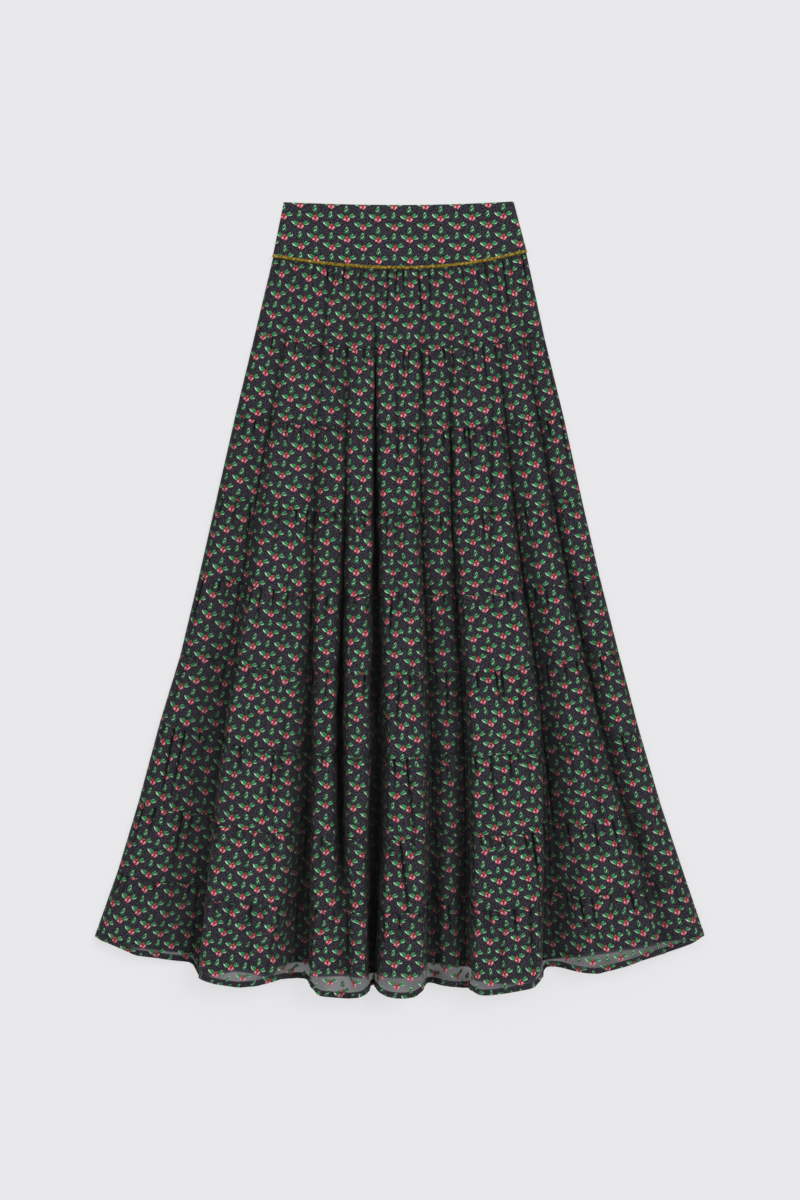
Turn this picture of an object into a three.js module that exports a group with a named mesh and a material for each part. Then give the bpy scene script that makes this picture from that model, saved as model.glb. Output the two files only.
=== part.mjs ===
// A long A-line skirt of nine gathered tiers under a shaped hip yoke, laid flat on a surface with its
// front up. Millimetres: +X to the right as the front is seen, +Y towards the waist, +Z up from the
// surface. Every strip of the front is a thin wall over the folds that run from the yoke to the hem;
// the strips of the back lie flat beneath it.
import * as THREE from "three";

// The cloth and its seams
const WALL = 1.5;
const SEAM_GAP = 0.3;
const HEM_WALL = 2.2; // the hem is turned up twice, so its wall is thicker
const HEM_DEPTH = 9;
const LOWEST_TOP = 2 * WALL + SEAM_GAP; // the front's upper face where it lies on the back

// The braided piping between the yoke and the first tier
const PIPING_WIDTH = 4.5;
const PIPING_SIDES = 10;
const PIPING_STEPS = 26;

// The seam lines from the waist down: where each meets the left and right side, and how far up the
// garment its middle lies where the cloth is flat. The hem is the last. `drop` is how far a seam slides
// towards the hem for each millimetre that the cloth stands up in a fold.
const SEAMS = [
  { name: "waist", leftX: -155.5, leftY: 517, midY: 513.5, rightX: 143, rightY: 518, drop: 0 },
  { name: "yoke", leftX: -169.5, leftY: 447, midY: 431.5, rightX: 159.5, rightY: 453.5, drop: 0 },
  { name: "tier 1", leftX: -193, leftY: 346, midY: 324, rightX: 183, rightY: 342, drop: 0.05 },
  { name: "tier 2", leftX: -219, leftY: 238, midY: 221, rightX: 208.5, rightY: 236.5, drop: 0.1 },
  { name: "tier 3", leftX: -242.5, leftY: 134, midY: 111, rightX: 232, rightY: 130, drop: 0.15 },
  { name: "tier 4", leftX: -266, leftY: 30, midY: 6.5, rightX: 255, rightY: 30, drop: 0.2 },
  { name: "tier 5", leftX: -290, leftY: -71.5, midY: -92, rightX: 279.5, rightY: -67.5, drop: 0.25 },
  { name: "tier 6", leftX: -316.5, leftY: -158.5, midY: -198, rightX: 306.5, rightY: -170, drop: 0.3 },
  { name: "tier 7", leftX: -344, leftY: -261, midY: -300, rightX: 335, rightY: -268, drop: 0.35 },
  { name: "tier 8", leftX: -371, leftY: -351, midY: -390, rightX: 365, rightY: -357.5, drop: 0.45 },
  { name: "tier 9", leftX: -401, leftY: -439.5, midY: -497, rightX: 391, rightY: -439.5, drop: 0.55 },
];
// The back is cut a little shorter than the front lies, so its hem ends above the front's.
const BACK_HEM = { leftX: -399, leftY: -436, midY: -476, rightX: 389, rightY: -434, drop: 0 };

// The valleys between the folds, from left to right. Each has four values, at the yoke seam, at the
// seams of tiers 3 and 6, and at the hem: x of its line, half the width of its foot, the widths of the
// walls on its left and right, and its depth as a share of the lower fold beside it.
const VALLEYS = [
  { name: "left side", x: [-146, -199.5, -245, -274], foot: [1, 2, 4, 6], leftWall: [10, 28, 45, 60],
    rightWall: [8, 14, 9, 7], depth: [0, 0.35, 0.9, 1] },
  { name: "left recess", x: [-100.5, -116.5, -124, -134.5], foot: [1, 2, 6, 14], leftWall: [6, 9, 14, 26],
    rightWall: [6, 9, 8, 7], depth: [0, 0.45, 0.85, 1] },
  { name: "short crease", x: [-72, -77.5, -83, -75], foot: [1, 2, 3, 2], leftWall: [5, 7, 8, 10],
    rightWall: [5, 7, 8, 10], depth: [0, 0.55, 0.9, 0.05] },
  { name: "left of centre", x: [-36.5, -36.5, -36, -41], foot: [1, 3, 6, 4], leftWall: [5, 6, 6, 6],
    rightWall: [5, 8, 12, 9], depth: [0.15, 0.95, 1, 1] },
  { name: "right of centre", x: [23, 23, 37, 35], foot: [1, 2, 5, 7], leftWall: [5, 6, 7, 6],
    rightWall: [5, 7, 10, 12], depth: [0, 0.45, 0.85, 0.95] },
  { name: "right recess", x: [58, 63, 79, 81], foot: [1, 2, 5, 6], leftWall: [6, 9, 12, 14],
    rightWall: [5, 7, 8, 7], depth: [0, 0.45, 0.95, 0.95] },
  { name: "right side", x: [118, 151.5, 186.5, 192.5], foot: [1, 3, 5, 11], leftWall: [6, 10, 10, 7],
    rightWall: [8, 18, 30, 36], depth: [0, 0.7, 0.95, 1] },
  { name: "right edge", x: [147, 203.5, 267, 354], foot: [1, 1.5, 2, 2], leftWall: [10, 14, 16, 20],
    rightWall: [5, 6, 8, 10], depth: [0.1, 0.75, 0.75, 0.1] },
];

// The folds that stand up between the valleys, from left to right: the height of each at the same four
// levels, and the columns of the mesh that cross it.
const FOLDS = [
  { name: "left panel", height: [3.6, 8, 10, 11], columns: 8 },
  { name: "broad left", height: [3.8, 14, 23, 30], columns: 12 },
  { name: "inner left", height: [3.8, 13, 21, 28], columns: 7 },
  { name: "narrow centre", height: [3.8, 14, 23, 30], columns: 6 },
  { name: "centre", height: [3.8, 15, 24, 31], columns: 9 },
  { name: "sunken", height: [3.8, 11, 12, 14], columns: 6 },
  { name: "inner right", height: [3.8, 14, 23, 29], columns: 10 },
  { name: "broad right", height: [3.8, 12, 17, 19], columns: 10 },
  { name: "right panel", height: [3.6, 7, 9, 10], columns: 4 },
];
const CROWN = 0.14; // a fold's middle stands this share higher than its shoulders
const WIDEST_WALL = 0.45; // a wall takes no more than this share of a fold's width
const SIDE_SHOULDER = 16; // width of the slope from a side seam up to the panel beside it

// Gathers under each tier's upper seam: one for every four columns
const GATHER_HEIGHT = 2.4;
const GATHER_STEEPNESS = 0.4; // its greatest share of a column, where columns lie close
const COLUMNS_PER_GATHER = 4;
const LEAST_GATHER = 0.4; // no two gathers are alike: the least share of the full height
// Rows of a tier: how far down the tier, and how much of the gathers' height is left there
const TIER_ROWS = [
  { down: 0, gather: 0 },
  { down: 0.12, gather: 1 },
  { down: 0.45, gather: 0.45 },
  { down: 1, gather: 0 },
];

const LEVELS_PER_STATION = 3; // the four values of a valley or fold are this many seams apart
const SAMPLES_PER_FOLD = 60;
const BACK_COLUMNS = 24;
const LAST = SEAMS.length - 1;

const PRINTED_CLOTH = () => new THREE.MeshStandardMaterial({ color: 0x33303a, roughness: 0.85, metalness: 0 });
const BRAID = () => new THREE.MeshStandardMaterial({ color: 0x6e6118, roughness: 0.5, metalness: 0.3 });

const clamp = (value, low, high) => Math.min(high, Math.max(low, value));
const mix = (a, b, share) => a + (b - a) * share;

// A smooth curve through evenly spaced values, read at a position from 0 to values.length - 1.
function through(values, position) {
  const last = values.length - 1;
  const i = clamp(Math.floor(position), 0, last - 1);
  const f = position - i;
  const before = values[Math.max(i - 1, 0)];
  const after = values[Math.min(i + 2, last)];
  const startSlope = (values[i + 1] - before) / 2;
  const endSlope = (after - values[i]) / 2;
  const f2 = f * f;
  const f3 = f2 * f;
  return (
    (2 * f3 - 3 * f2 + 1) * values[i] +
    (f3 - 2 * f2 + f) * startSlope +
    (3 * f2 - 2 * f3) * values[i + 1] +
    (f3 - f2) * endSlope
  );
}

// A seam's own value at a level: 0 is the waist, 1 the yoke seam, 10 the hem.
const seamValue = (column, level, seams = SEAMS) => {
  const i = clamp(Math.floor(level), 0, seams.length - 2);
  return mix(seams[i][column], seams[i + 1][column], level - i);
};
// A fold's or valley's value at a level from 1, the yoke seam, to 10, the hem.
const foldValue = (values, level) => through(values, (level - 1) / LEVELS_PER_STATION);

// How far up the garment a point lies: seams bow towards the hem in the middle, and slide down folds.
function heightUp(x, z, level, seams = SEAMS) {
  const left = seamValue("leftX", level, seams);
  const right = seamValue("rightX", level, seams);
  const across = clamp((x - left) / (right - left), 0, 1);
  const side = mix(seamValue("leftY", level, seams), seamValue("rightY", level, seams), across);
  const bow = 4 * across * (1 - across);
  const drop = seamValue("drop", level, seams) * (z - LOWEST_TOP);
  return mix(side, seamValue("midY", level, seams), bow) - drop;
}

// A fold's wall from its foot, 0, to its shoulder, 1.
const rise = (share) => {
  const t = clamp(share, 0, 1);
  return 0.5 * (t * t * (3 - 2 * t)) + 0.5 * (1 - (1 - t) ** 2);
};

// The valleys and the two side seams at a level, from left to right.
function feetAt(level) {
  const side = (x) => ({ x, foot: 0, leftWall: SIDE_SHOULDER, rightWall: SIDE_SHOULDER, depth: 1 });
  const valley = (v) => ({
    x: foldValue(v.x, level),
    foot: foldValue(v.foot, level),
    leftWall: foldValue(v.leftWall, level),
    rightWall: foldValue(v.rightWall, level),
    depth: clamp(foldValue(v.depth, level), 0, 1),
  });
  return [side(seamValue("leftX", level)), ...VALLEYS.map(valley), side(seamValue("rightX", level))];
}

// The front's upper face across the garment at a level: one list of {x, z} for each fold.
function sectionAt(level) {
  const feet = feetAt(level);
  const tops = FOLDS.map((f) => Math.max(foldValue(f.height, level), LOWEST_TOP));
  const floorOf = feet.map((f, i) => {
    const lower = Math.min(tops[Math.max(i - 1, 0)], tops[Math.min(i, tops.length - 1)]);
    return mix(lower, LOWEST_TOP, f.depth);
  });
  return FOLDS.map((_, i) => {
    const [a, b] = [feet[i], feet[i + 1]];
    const width = b.x - a.x;
    const points = [];
    for (let n = 0; n <= SAMPLES_PER_FOLD; n++) {
      const q = n / SAMPLES_PER_FOLD;
      const fromLeft = (q * width - a.foot) / Math.min(a.rightWall, WIDEST_WALL * width);
      const fromRight = ((1 - q) * width - b.foot) / Math.min(b.leftWall, WIDEST_WALL * width);
      const low = mix(floorOf[i], floorOf[i + 1], q);
      const top = tops[i] * (1 + CROWN * (4 * q * (1 - q)));
      points.push({ x: a.x + q * width, z: low + (top - low) * rise(fromLeft) * rise(fromRight) });
    }
    return points;
  });
}

// One fold's line again, with `columns` steps of even length along the cloth.
function evenly(points, columns) {
  const along = [0];
  for (let i = 1; i < points.length; i++)
    along.push(along[i - 1] + Math.hypot(points[i].x - points[i - 1].x, points[i].z - points[i - 1].z));
  const total = along[along.length - 1];
  const spaced = [];
  for (let n = 0, i = 1; n <= columns; n++) {
    const wanted = (total * n) / columns;
    while (i < along.length - 1 && along[i] < wanted) i++;
    const share = (wanted - along[i - 1]) / (along[i] - along[i - 1]);
    spaced.push({
      x: mix(points[i - 1].x, points[i].x, share),
      z: mix(points[i - 1].z, points[i].z, share),
    });
  }
  return spaced;
}

// The front's upper face at a level as one line of columns from side seam to side seam.
function frontLine(level) {
  const folds = sectionAt(level).map((points, i) => evenly(points, FOLDS[i].columns));
  return folds.flatMap((points, i) => (i ? points.slice(1) : points));
}

// Each row's points gain the direction in which the cloth faces, in the plane across the garment.
function withFacing(row) {
  return row.map((point, i) => {
    const before = row[Math.max(i - 1, 0)];
    const after = row[Math.min(i + 1, row.length - 1)];
    const length = Math.hypot(after.x - before.x, after.z - before.z);
    return { ...point, faceX: -(after.z - before.z) / length, faceZ: (after.x - before.x) / length };
  });
}

// A closed wall under a grid of upper points. Each row may have a thickness of its own.
function wallUnder(rows) {
  const upper = rows.flatMap((row) => row.points.flatMap((p) => [p.x, p.y, p.z]));
  const lower = rows.flatMap((row) =>
    row.points.flatMap((p) => [p.x - p.faceX * row.wall, p.y, p.z - p.faceZ * row.wall]),
  );
  const width = rows[0].points.length;
  const under = rows.length * width;
  const faces = [];
  const quad = (a, b, c, d) => faces.push(a, b, c, a, c, d);
  for (let r = 0; r + 1 < rows.length; r++)
    for (let c = 0; c + 1 < width; c++) {
      const a = r * width + c;
      quad(a, a + width, a + width + 1, a + 1);
      quad(under + a, under + a + 1, under + a + width + 1, under + a + width);
    }
  const lastRow = (rows.length - 1) * width;
  for (let c = 0; c + 1 < width; c++) {
    quad(c, c + 1, under + c + 1, under + c);
    quad(lastRow + c + 1, lastRow + c, under + lastRow + c, under + lastRow + c + 1);
  }
  for (let r = 0; r + 1 < rows.length; r++) {
    const [left, right] = [r * width, r * width + width - 1];
    quad(left + width, left, under + left, under + left + width);
    quad(right, right + width, under + right + width, under + right);
  }
  const geometry = new THREE.BufferGeometry();
  geometry.setAttribute("position", new THREE.Float32BufferAttribute([...upper, ...lower], 3));
  geometry.setIndex(faces);
  geometry.computeVertexNormals();
  return geometry;
}

function named(name, geometry, material) {
  const mesh = new THREE.Mesh(geometry, material());
  mesh.name = name;
  return mesh;
}

// A row of the front at a level, `gather` of the full height of the gathers, moved up by `shift`.
function frontRow(level, gather, shift, tier, wall = WALL) {
  const line = frontLine(level);
  const points = line.map((p, i) => {
    const next = line[i + 1] ?? line[i - 1];
    const column = Math.hypot(next.x - p.x, next.z - p.z);
    const height = gather * Math.min(GATHER_HEIGHT, GATHER_STEEPNESS * column);
    const uneven = mix(LEAST_GATHER, 1, 0.5 + 0.5 * Math.sin(1.7 * i + 2.3 * tier));
    const wave = Math.sin(((i + tier) * 2 * Math.PI) / COLUMNS_PER_GATHER);
    const z = Math.max(LOWEST_TOP, p.z + height * uneven * wave) + wall - WALL;
    return { x: p.x, y: heightUp(p.x, p.z, level) + shift, z };
  });
  return { points: withFacing(points), wall };
}

// A front tier hangs between two seams. Its rows are placed by how far down the tier they lie.
function frontTier(tier) {
  const isLast = tier === LAST - 1;
  const topShift = tier === 1 ? -(PIPING_WIDTH / 2 + SEAM_GAP) : -SEAM_GAP / 2;
  const rows = TIER_ROWS.map(({ down, gather }) => {
    const shift = down === 0 ? topShift : down === 1 && !isLast ? SEAM_GAP / 2 : 0;
    return frontRow(tier + down, gather, shift, tier);
  });
  if (isLast) {
    const tierLength = heightUp(0, LOWEST_TOP, LAST - 1) - heightUp(0, LOWEST_TOP, LAST);
    const hem = 1 - HEM_DEPTH / tierLength;
    rows.splice(-1, 1, frontRow(tier + hem, 0, 0, tier), frontRow(tier + 1, 0, 0, tier, HEM_WALL));
  }
  return named(`tier_${tier}_front`, wallUnder(rows), PRINTED_CLOTH);
}

// A flat row across the garment at a level.
function flatRow(level, z, shift, seams) {
  const left = seamValue("leftX", level, seams);
  const right = seamValue("rightX", level, seams);
  const points = [];
  for (let c = 0; c <= BACK_COLUMNS; c++) {
    const x = mix(left, right, c / BACK_COLUMNS);
    points.push({ x, y: heightUp(x, LOWEST_TOP, level, seams) + shift, z, faceX: 0, faceZ: 1 });
  }
  return { points, wall: WALL };
}

// The back's strips lie flat on the surface, under the front.
function backTier(tier) {
  const seams = [...SEAMS.slice(0, LAST), BACK_HEM];
  const topShift = tier === 1 ? -(PIPING_WIDTH / 2 + SEAM_GAP) : -SEAM_GAP / 2;
  const bottomShift = tier === LAST - 1 ? 0 : SEAM_GAP / 2;
  const rows = [flatRow(tier, WALL, topShift, seams), flatRow(tier + 1, WALL, bottomShift, seams)];
  return named(`tier_${tier}_back`, wallUnder(rows), PRINTED_CLOTH);
}

// The hip yoke: two shaped flat panels, with their lower edges on the piping.
function yoke(name, z) {
  const overPiping = PIPING_WIDTH / 2 + SEAM_GAP;
  const rows = [flatRow(0, z, 0, SEAMS), flatRow(0.5, z, 0, SEAMS), flatRow(1, z, overPiping, SEAMS)];
  return named(name, wallUnder(rows), PRINTED_CLOTH);
}

// The piping follows the yoke seam: round on the front, pressed flat under the back.
function piping(name, halfHeight, centreZ) {
  const path = new THREE.CatmullRomCurve3(
    flatRow(1, centreZ, 0, SEAMS).points.map((p) => new THREE.Vector3(p.x, p.y, p.z)),
  );
  const section = new THREE.Shape();
  for (let i = 0; i < PIPING_SIDES; i++) {
    const angle = (i * 2 * Math.PI) / PIPING_SIDES;
    const corner = [halfHeight * Math.cos(angle), (PIPING_WIDTH / 2) * Math.sin(angle)];
    if (i) section.lineTo(...corner);
    else section.moveTo(...corner);
  }
  section.closePath();
  const geometry = new THREE.ExtrudeGeometry(section, { steps: PIPING_STEPS, extrudePath: path });
  return named(name, geometry, BRAID);
}

const skirt = new THREE.Group();
skirt.add(yoke("yoke_front", LOWEST_TOP), yoke("yoke_back", WALL));
skirt.add(piping("piping_back", WALL / 2, WALL / 2));
skirt.add(piping("piping_front", PIPING_WIDTH / 2, WALL + SEAM_GAP + PIPING_WIDTH / 2));
for (let tier = 1; tier < LAST; tier++) skirt.add(frontTier(tier), backTier(tier));

// The origin is the middle of the footprint, on the surface.
const extent = new THREE.Box3().setFromObject(skirt);
const middle = extent.getCenter(new THREE.Vector3());
skirt.position.set(-middle.x, -middle.y, -extent.min.z);

export default skirt;
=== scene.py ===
import math

import bpy
import numpy as np
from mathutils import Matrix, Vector


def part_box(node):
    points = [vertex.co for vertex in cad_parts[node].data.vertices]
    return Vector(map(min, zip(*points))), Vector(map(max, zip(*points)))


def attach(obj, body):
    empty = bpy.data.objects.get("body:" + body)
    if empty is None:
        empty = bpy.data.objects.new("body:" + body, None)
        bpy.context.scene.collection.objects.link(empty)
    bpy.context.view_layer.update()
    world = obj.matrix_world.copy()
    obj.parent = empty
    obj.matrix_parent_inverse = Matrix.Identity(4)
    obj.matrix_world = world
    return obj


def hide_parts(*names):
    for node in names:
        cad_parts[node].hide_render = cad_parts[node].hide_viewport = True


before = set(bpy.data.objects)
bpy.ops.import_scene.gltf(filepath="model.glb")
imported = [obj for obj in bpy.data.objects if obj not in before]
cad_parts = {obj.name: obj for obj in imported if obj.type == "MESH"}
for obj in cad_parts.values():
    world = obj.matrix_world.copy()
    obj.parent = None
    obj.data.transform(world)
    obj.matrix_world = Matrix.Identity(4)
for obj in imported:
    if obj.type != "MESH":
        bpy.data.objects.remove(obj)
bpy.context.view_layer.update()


# The hip yoke
# Two shaped flat panels of printed cotton voile with the waist edge turned in, joined at the sides.
# The back panel lies on the surface and the front panel lies on it. Lengths are in metres.
MM = 0.001
CLOTH = 0.5 * MM  # the voile with what its seams and turnings add to it
BACK_REST = 0.9 * MM  # upper face of the back panels
FRONT_REST = 2.9 * MM  # upper face of the front where it lies on the back
PIPING_WIDTH = 4.5 * MM
YOKE_ROWS = 40
YOKE_COLUMNS = 110
EDGE_ROLL = 4 * MM  # how far in from an edge the cloth starts to turn down
EDGE_FALL = 1.85 * MM  # how far the front turns down there, to lie on the back's edge
YOKE_FALL = 1.6 * MM  # and the front yoke
YOKE_WAVES = 0.35 * MM
PUCKER_REACH = 14 * MM  # up from the piping
PUCKER_HEIGHT = 0.25 * MM
YOKE_TUCK = 0.42 * PIPING_WIDTH  # how far short of the piping's middle line the yoke ends
TIER_TUCK = 0.4 * PIPING_WIDTH  # and the first strip

# Seam lines in millimetres from the waist to the hem: where each meets the two side seams, how far up
# its middle lies where the cloth is flat, and how far it slides down for each unit of a fold's height.
SEAMS = [
    {"left_x": -155.5, "left_y": 517, "mid_y": 513.5, "right_x": 143, "right_y": 518, "drop": 0},
    {"left_x": -169.5, "left_y": 447, "mid_y": 431.5, "right_x": 159.5, "right_y": 453.5, "drop": 0},
    {"left_x": -193, "left_y": 346, "mid_y": 324, "right_x": 183, "right_y": 342, "drop": 0.05},
    {"left_x": -219, "left_y": 238, "mid_y": 221, "right_x": 208.5, "right_y": 236.5, "drop": 0.1},
    {"left_x": -242.5, "left_y": 134, "mid_y": 111, "right_x": 232, "right_y": 130, "drop": 0.15},
    {"left_x": -266, "left_y": 30, "mid_y": 6.5, "right_x": 255, "right_y": 30, "drop": 0.2},
    {"left_x": -290, "left_y": -71.5, "mid_y": -92, "right_x": 279.5, "right_y": -67.5, "drop": 0.25},
    {"left_x": -316.5, "left_y": -158.5, "mid_y": -198, "right_x": 306.5, "right_y": -170, "drop": 0.3},
    {"left_x": -344, "left_y": -261, "mid_y": -300, "right_x": 335, "right_y": -268, "drop": 0.35},
    {"left_x": -371, "left_y": -351, "mid_y": -390, "right_x": 365, "right_y": -357.5, "drop": 0.45},
    {"left_x": -401, "left_y": -439.5, "mid_y": -497, "right_x": 391, "right_y": -439.5, "drop": 0.55},
]
BACK_HEM = {"left_x": -401, "left_y": -436, "mid_y": -476, "right_x": 391, "right_y": -434, "drop": 0}
BACK_SEAMS = SEAMS[:-1] + [BACK_HEM]
LAST = len(SEAMS) - 1

# The record's origin is mid footprint, so the pieces are moved as their solids are.
hem_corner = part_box("tier_9_front")[0]
waist_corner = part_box("yoke_front")[1]
TO_ORIGIN = np.array([
    hem_corner[0] - SEAMS[-1]["left_x"] * MM,
    waist_corner[1] - SEAMS[0]["right_y"] * MM,
    0,
])


def at_level(seams, column, level):
    """A seam line's value at a level, in metres: 0 is the waist, 1 the yoke seam, 10 the hem."""
    return np.interp(level, range(len(seams)), [seam[column] * MM for seam in seams])


def height_up(seams, x, z, level):
    """How far up the garment a point lies: seams bow towards the hem, and slide down the folds."""
    left = at_level(seams, "left_x", level)
    right = at_level(seams, "right_x", level)
    across = np.clip((x - left) / (right - left), 0, 1)
    left_y = at_level(seams, "left_y", level)
    side = left_y + (at_level(seams, "right_y", level) - left_y) * across
    bow = 4 * across * (1 - across)
    slide = at_level(seams, "drop", level) / MM * (z - FRONT_REST)
    return side + (at_level(seams, "mid_y", level) - side) * bow - slide


def facing(grid):
    """The direction in which each point of a grid faces. Rows run down, columns to the right."""
    normal = np.cross(np.gradient(grid, axis=0), np.gradient(grid, axis=1))
    return normal / np.linalg.norm(normal, axis=2, keepdims=True)


def soft_noise(across, down, wavelength, seed):
    """A smooth unevenness between about -1 and 1, made of waves in ten set directions."""
    draw = np.random.default_rng(seed)
    total = np.zeros(np.broadcast(across, down).shape)
    for _ in range(10):
        turn = draw.uniform(0, math.tau)
        length = wavelength * draw.uniform(0.6, 1.7)
        phase = draw.uniform(0, math.tau)
        total += np.sin(math.tau * (across * math.cos(turn) + down * math.sin(turn)) / length + phase)
    return total / 3.5


def along_rows(grid):
    """How far each point lies from the left edge, along the cloth."""
    steps = np.linalg.norm(np.diff(grid, axis=1), axis=2)
    return np.hstack([np.zeros((len(grid), 1)), np.cumsum(steps, axis=1)])


def down_columns(grid):
    """How far each point lies from the upper edge, along the cloth."""
    steps = np.linalg.norm(np.diff(grid, axis=0), axis=2)
    return np.vstack([np.zeros((1, grid.shape[1])), np.cumsum(steps, axis=0)])


def cloth_piece(name, upper, lower, maps, material):
    """A closed thin wall between two grids of points, with its maps given point by point."""
    rows, columns = upper.shape[:2]
    index = np.arange(rows * columns).reshape(rows, columns)
    under = index + rows * columns

    def cells(grid):
        return np.stack([grid[:-1, :-1], grid[1:, :-1], grid[1:, 1:], grid[:-1, 1:]], axis=2).reshape(-1, 4)

    def rim(line, below):
        return np.stack([line[:-1], line[1:], below[1:], below[:-1]], axis=1)

    faces = np.vstack([
        cells(index),
        cells(under)[:, ::-1],
        rim(index[0], under[0]),
        rim(index[-1, ::-1], under[-1, ::-1]),
        rim(index[::-1, 0], under[::-1, 0]),
        rim(index[:, -1], under[:, -1]),
    ])
    points = np.vstack([upper.reshape(-1, 3), lower.reshape(-1, 3)]) + TO_ORIGIN
    mesh = bpy.data.meshes.new(name)
    mesh.from_pydata(points.tolist(), [], faces.tolist())
    corners = faces.reshape(-1) % (rows * columns)
    for title, values in maps.items():
        layer = mesh.uv_layers.new(name=title)
        layer.data.foreach_set("uv", values.reshape(-1, 2)[corners].astype(np.float32).ravel())
    mesh.shade_smooth()
    mesh.set_sharp_from_angle(angle=math.radians(75))
    mesh.materials.append(material)
    piece = bpy.data.objects.new(name, mesh)
    bpy.context.scene.collection.objects.link(piece)
    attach(piece, "root")
    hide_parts(name)
    return piece


class Field:
    """A number or a colour that changes over the surface. Python's operators add Math nodes to it."""

    def __init__(self, tree, socket=None):
        self.tree = tree
        self.socket = socket

    def node(self, kind, inputs=None, settings=None):
        """Any node, from its type, the values or links of its sockets, and its settings."""
        made = self.tree.nodes.new(kind)
        for setting, value in (settings or {}).items():
            setattr(made, setting, value)
        for key, value in (inputs or {}).items():
            socket = next(s for s in made.inputs if key in (s.identifier, s.name))
            if isinstance(value, Field):
                self.tree.links.new(value.socket, socket)
            else:
                socket.default_value = value
        return made

    def field(self, kind, inputs=None, settings=None, output=0):
        """One output of a new node."""
        return Field(self.tree, self.node(kind, inputs, settings).outputs[output])

    def maths(self, operation, *others, clamp=False):
        inputs = dict(zip(("Value", "Value_001", "Value_002"), (self, *others)))
        return self.field("ShaderNodeMath", inputs, {"operation": operation, "use_clamp": clamp})

    def dot(self, x, y):
        """This position's share along a direction."""
        inputs = {"Vector": self, "Vector_001": (x, y, 0)}
        return self.field("ShaderNodeVectorMath", inputs, {"operation": "DOT_PRODUCT"}, "Value")

    def mix(self, start, end):
        """From one colour to another by this share."""
        inputs = {"Factor_Float": self, "A_Color": start, "B_Color": end}
        made = self.node("ShaderNodeMix", inputs, {"data_type": "RGBA"})
        return Field(self.tree, next(s for s in made.outputs if s.identifier == "Result_Color"))

    def noise(self, scale, detail=2.0):
        """Even noise from 0 to 1 over this position."""
        inputs = {"Vector": self, "Scale": scale, "Detail": detail, "Roughness": 0.5}
        return self.field("ShaderNodeTexNoise", inputs, {"noise_dimensions": "2D"}, "Fac")

    def pair(self, other):
        """This number and another as the two parts of a position."""
        return self.field("ShaderNodeCombineXYZ", {"X": self, "Y": other})

    def parts(self):
        """The two parts of this position."""
        made = self.node("ShaderNodeSeparateXYZ", {"Vector": self})
        return Field(self.tree, made.outputs[0]), Field(self.tree, made.outputs[1])

    def clamped(self):
        return self.maths("MULTIPLY", 1.0, clamp=True)

    def __add__(self, other):
        return self.maths("ADD", other)

    __radd__ = __add__

    def __sub__(self, other):
        return self.maths("SUBTRACT", other)

    def __rsub__(self, other):
        return (self * -1).maths("ADD", other)

    def __mul__(self, other):
        return self.maths("MULTIPLY", other)

    __rmul__ = __mul__

    def __abs__(self):
        return self.maths("ABSOLUTE")


def new_material(name):
    """A material with an empty tree, and a field to make its nodes with."""
    material = bpy.data.materials.new(name)
    material.use_nodes = True
    material.node_tree.nodes.clear()
    return material, Field(material.node_tree)


def finish_material(root, inputs):
    shader = root.field("ShaderNodeBsdfPrincipled", inputs)
    root.node("ShaderNodeOutputMaterial", {"Surface": shader})


def srgb(red, green, blue):
    """A colour as it is seen, from 0 to 255, in the shader's own linear numbers."""
    def line(part):
        part = part / 255
        return part / 12.92 if part <= 0.04045 else ((part + 0.055) / 1.055) ** 2.4
    return (line(red), line(green), line(blue), 1.0)


# The print, a small half-drop sprig. Sizes are in millimetres on the cloth.
REPEAT_X = 40.8
REPEAT_Y = 27.2
SECOND_SPRIG = (21.4, -11.0)  # from the first one
BUD = (0.0, 10.2)  # from the first sprig
SECOND_BUD = (20.3, 2.3)
SPRIG_REACH = (12.0, 6.0)
BUD_REACH = (3.6, 5.4)
EDGE = 6.0  # how crisply a shape is printed
OUTLINE = 0.55  # how far the dark outline reaches past a shape, as a share of its size
OUTLINE_SHARE = 0.6  # how dark it is
TIP_FADE = 2.5  # how quickly a shape's colour turns into its tip's
LEAN = 0.25  # how much the motifs turn, each its own way

GROUND_DARK = srgb(14, 13, 17)
GROUND_LIGHT = srgb(68, 63, 76)
OUTLINE_COLOUR = srgb(14, 16, 18)
DEEP_GREEN = srgb(22, 70, 42)
LEAF_GREEN = srgb(50, 144, 82)
LIGHT_GREEN = srgb(132, 212, 148)
PALE = srgb(246, 252, 240)
DEEP_RED = srgb(78, 14, 32)
ROSE = srgb(200, 62, 84)
PINK = srgb(246, 156, 164)

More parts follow.
